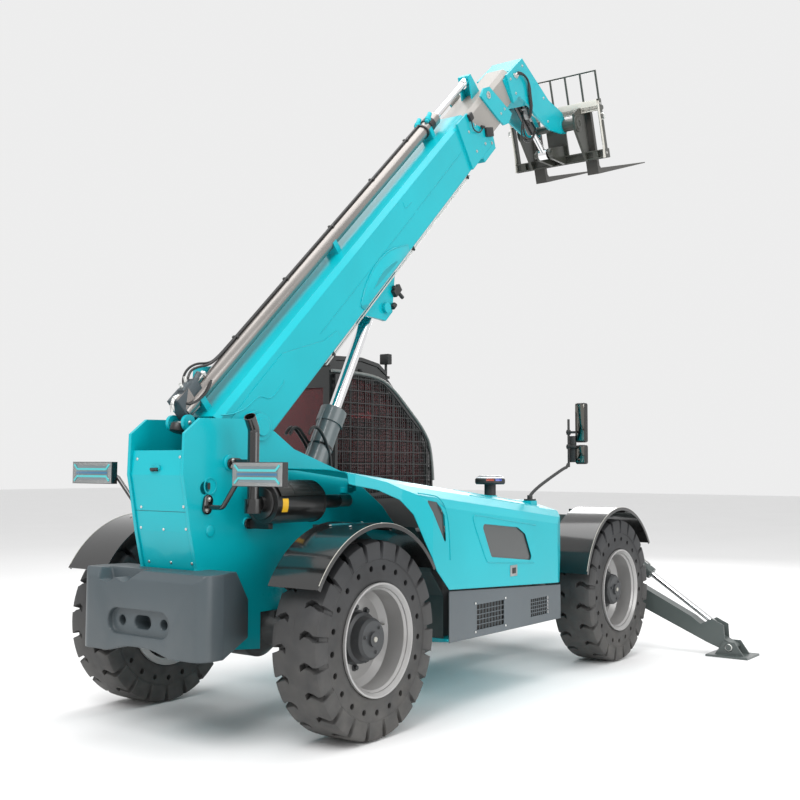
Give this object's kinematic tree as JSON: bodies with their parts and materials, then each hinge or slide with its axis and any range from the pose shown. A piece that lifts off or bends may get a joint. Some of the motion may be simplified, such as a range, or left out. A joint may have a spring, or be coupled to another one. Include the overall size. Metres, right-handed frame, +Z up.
{
  "type": "telehandler",
  "caption": "Four-wheel-steer telehandler with a three-section telescopic boom, fork carriage, side cab, side engine hood and front stabilisers.",
  "frame": {"origin": "on the ground, under the middle of the machine's bounding box", "axes": "+X forward along the machine, +Y to its left, +Z up"},
  "size_m": [7.0034, 4, 5.7288],
  "materials": {
    "axle_dark": "satin",
    "beacon_dome": "gloss",
    "black_steel": "gloss",
    "cab_black": "satin",
    "chrome_rod": "polished",
    "cylinder_grey": "satin",
    "dark_liner": "satin",
    "engine_grey": "satin",
    "fork_steel": "satin",
    "grey_skirt": "satin",
    "hub_dark": "satin",
    "lamp_clear": "gloss",
    "light_grey_paint": "satin",
    "mirror_black": "satin",
    "olive_grey": "satin",
    "rim_silver": "satin",
    "seat_cloth": "matte",
    "slate_casting": "semi-gloss",
    "stabiliser_dark": "satin",
    "teal_paint": "gloss",
    "tyre_rubber": "matte"
  },
  "bodies": {
    "chassis": {"main_frame": "teal_paint", "rear_cover": "teal_paint", "counterweight": "slate_casting", "front_axle": "axle_dark", "rear_axle": "axle_dark", "engine": "engine_grey", "side_skirt": "grey_skirt", "arch_liner": "dark_liner", "muffler": "black_steel", "heat_shield": "black_steel", "exhaust_pipe": "black_steel", "stabiliser_mount": "stabiliser_dark", "cab_shell": "cab_black", "cab_roof": "cab_black", "seat": "seat_cloth", "steering_column": "cab_black", "cab_guard": "black_steel", "fuel_tank": "grey_skirt", "rear_lamps": "lamp_clear"},
    "hood": {"hood": "teal_paint", "beacon": "beacon_dome", "mirrors": "mirror_black"},
    "cab_door": {"cab_door": "cab_black"},
    "front_left_knuckle": {"knuckle_front_left": "black_steel"},
    "front_left_wheel": {"tyre_front_left": "tyre_rubber", "rim_front_left": "rim_silver", "hub_front_left": "hub_dark"},
    "front_right_knuckle": {"knuckle_front_right": "black_steel"},
    "front_right_wheel": {"tyre_front_right": "tyre_rubber", "rim_front_right": "rim_silver", "hub_front_right": "hub_dark"},
    "rear_left_knuckle": {"knuckle_rear_left": "black_steel"},
    "rear_left_wheel": {"tyre_rear_left": "tyre_rubber", "rim_rear_left": "rim_silver", "hub_rear_left": "hub_dark"},
    "rear_right_knuckle": {"knuckle_rear_right": "black_steel"},
    "rear_right_wheel": {"tyre_rear_right": "tyre_rubber", "rim_rear_right": "rim_silver", "hub_rear_right": "hub_dark"},
    "boom_outer": {"outer_boom": "teal_paint", "extension_barrel": "cylinder_grey"},
    "boom_middle": {"middle_boom": "light_grey_paint", "extension_rod": "chrome_rod"},
    "boom_inner": {"inner_boom": "teal_paint"},
    "lift_barrel": {"lift_barrel": "cylinder_grey"},
    "lift_rod": {"lift_rod": "chrome_rod"},
    "tilt_barrel": {"tilt_barrel": "black_steel"},
    "tilt_rod": {"tilt_rod": "chrome_rod"},
    "carriage": {"carriage": "olive_grey", "forks": "fork_steel"},
    "stabiliser_arm_left": {"stabiliser_arm_left": "stabiliser_dark"},
    "stabiliser_barrel_left": {"stabiliser_barrel_left": "stabiliser_dark"},
    "stabiliser_rod_left": {"stabiliser_rod_left": "chrome_rod"},
    "stabiliser_foot_left": {"stabiliser_foot_left": "stabiliser_dark"},
    "stabiliser_arm_right": {"stabiliser_arm_right": "stabiliser_dark"},
    "stabiliser_barrel_right": {"stabiliser_barrel_right": "stabiliser_dark"},
    "stabiliser_rod_right": {"stabiliser_rod_right": "chrome_rod"},
    "stabiliser_foot_right": {"stabiliser_foot_right": "stabiliser_dark"}
  },
  "joints": [
    {"name": "rear_steer", "type": "hinge", "parent": "chassis", "child": "rear_left_knuckle", "pos_m": [-2.522, 0.74, 0.62], "axis": [0, 0, 1], "range_deg": [-28, 28]},
    {"name": "rear_left_wheel_spin", "type": "hinge", "parent": "rear_left_knuckle", "child": "rear_left_wheel", "pos_m": [-2.522, 0.94, 0.62], "axis": [0, 1, 0], "continuous": true},
    {"name": "rear_steer_right", "type": "hinge", "parent": "chassis", "child": "rear_right_knuckle", "pos_m": [-2.522, -0.74, 0.62], "axis": [0, 0, 1], "range_deg": [-28, 28]},
    {"name": "rear_right_wheel_spin", "type": "hinge", "parent": "rear_right_knuckle", "child": "rear_right_wheel", "pos_m": [-2.522, -0.94, 0.62], "axis": [0, 1, 0], "continuous": true},
    {"name": "front_steer", "type": "hinge", "parent": "chassis", "child": "front_left_knuckle", "pos_m": [1.048, 0.74, 0.62], "axis": [0, 0, 1], "range_deg": [-28, 28]},
    {"name": "front_left_wheel_spin", "type": "hinge", "parent": "front_left_knuckle", "child": "front_left_wheel", "pos_m": [1.048, 0.94, 0.62], "axis": [0, 1, 0], "continuous": true},
    {"name": "front_steer_right", "type": "hinge", "parent": "chassis", "child": "front_right_knuckle", "pos_m": [1.048, -0.74, 0.62], "axis": [0, 0, 1], "range_deg": [-28, 28]},
    {"name": "front_right_wheel_spin", "type": "hinge", "parent": "front_right_knuckle", "child": "front_right_wheel", "pos_m": [1.048, -0.94, 0.62], "axis": [0, 1, 0], "continuous": true},
    {"name": "boom_lift", "type": "hinge", "parent": "chassis", "child": "boom_outer", "pos_m": [-2.702, 0, 1.957], "axis": [0, -1, 0], "range_deg": [-46, 24]},
    {"name": "lift_barrel_swing", "type": "hinge", "parent": "chassis", "child": "lift_barrel", "pos_m": [-2.307, 0, 0.842], "axis": [0, -1, 0], "range_deg": [-33.49, 17.66]},
    {"name": "lift_rod_stroke", "type": "slide", "parent": "lift_barrel", "child": "lift_rod", "axis": [0.4762, 0, 0.8793], "range_m": [-0.766, 0.401]},
    {"name": "boom_extend", "type": "slide", "parent": "boom_outer", "child": "boom_middle", "axis": [0.7314, 0, 0.682], "range_m": [0, 3]},
    {"name": "boom_extend_inner", "type": "slide", "parent": "boom_middle", "child": "boom_inner", "axis": [0.7314, 0, 0.682], "range_m": [0, 3]},
    {"name": "carriage_tilt", "type": "hinge", "parent": "boom_inner", "child": "carriage", "pos_m": [1.89776, 0, 5.20034], "axis": [0, 1, 0], "range_deg": [-60, 38]},
    {"name": "tilt_barrel_swing", "type": "hinge", "parent": "boom_inner", "child": "tilt_barrel", "pos_m": [1.00695, 0, 5.443], "axis": [0, -1, 0], "range_deg": [-3.97, 6.04]},
    {"name": "tilt_rod_stroke", "type": "slide", "parent": "tilt_barrel", "child": "tilt_rod", "axis": [0.8212, 0, -0.5707], "range_m": [-0.179, 0.281]},
    {"name": "stabiliser_left", "type": "hinge", "parent": "chassis", "child": "stabiliser_arm_left", "pos_m": [1.918, 0.45, 0.72], "axis": [1, 0, 0], "range_deg": [0, 95]},
    {"name": "stabiliser_barrel_left_swing", "type": "hinge", "parent": "chassis", "child": "stabiliser_barrel_left", "pos_m": [1.918, 0.35, 1.17], "axis": [1, 0, 0], "range_deg": [-0.4, 95.8]},
    {"name": "stabiliser_rod_left_stroke", "type": "slide", "parent": "stabiliser_barrel_left", "child": "stabiliser_rod_left", "axis": [0, 0.825, -0.5652], "range_m": [-0.682, 0.002]},
    {"name": "stabiliser_foot_left_pivot", "type": "hinge", "parent": "stabiliser_arm_left", "child": "stabiliser_foot_left", "pos_m": [1.918, 1.81, 0.084], "axis": [1, 0, 0], "range_deg": [-20, 20]},
    {"name": "stabiliser_right", "type": "hinge", "parent": "chassis", "child": "stabiliser_arm_right", "pos_m": [1.918, -0.45, 0.72], "axis": [-1, 0, 0], "range_deg": [0, 95]},
    {"name": "stabiliser_barrel_right_swing", "type": "hinge", "parent": "chassis", "child": "stabiliser_barrel_right", "pos_m": [1.918, -0.35, 1.17], "axis": [-1, 0, 0], "range_deg": [-0.4, 95.8]},
    {"name": "stabiliser_rod_right_stroke", "type": "slide", "parent": "stabiliser_barrel_right", "child": "stabiliser_rod_right", "axis": [0, -0.825, -0.5652], "range_m": [-0.682, 0.002]},
    {"name": "stabiliser_foot_right_pivot", "type": "hinge", "parent": "stabiliser_arm_right", "child": "stabiliser_foot_right", "pos_m": [1.918, -1.81, 0.084], "axis": [-1, 0, 0], "range_deg": [-20, 20]},
    {"name": "cab_door_hinge", "type": "hinge", "parent": "chassis", "child": "cab_door", "pos_m": [-1.216, 1.102, 1.15], "axis": [0, 0, 1], "range_deg": [0, 100]},
    {"name": "hood_lid", "type": "hinge", "parent": "chassis", "child": "hood", "pos_m": [-1.822, -0.331, 1.56705], "axis": [-0.9943, 0, 0.1063], "range_deg": [0, 55]}
  ],
  "couplings": [
    {"joint": "rear_steer_right", "follows": "rear_steer", "ratio": 1},
    {"joint": "front_steer_right", "follows": "front_steer", "ratio": 1},
    {"joint": "lift_barrel_swing", "follows": "boom_lift", "ratio": 0.71934},
    {"joint": "lift_rod_stroke", "follows": "boom_lift", "m_per_rad": 0.95138},
    {"joint": "boom_extend_inner", "follows": "boom_extend", "ratio": 1},
    {"joint": "tilt_barrel_swing", "follows": "carriage_tilt", "ratio": -0.09392},
    {"joint": "tilt_rod_stroke", "follows": "carriage_tilt", "m_per_rad": -0.26678},
    {"joint": "stabiliser_barrel_left_swing", "follows": "stabiliser_left", "ratio": 1.0042},
    {"joint": "stabiliser_rod_left_stroke", "follows": "stabiliser_left", "m_per_rad": -0.40992},
    {"joint": "stabiliser_barrel_right_swing", "follows": "stabiliser_right", "ratio": 1.0042},
    {"joint": "stabiliser_rod_right_stroke", "follows": "stabiliser_right", "m_per_rad": -0.40992}
  ]
}
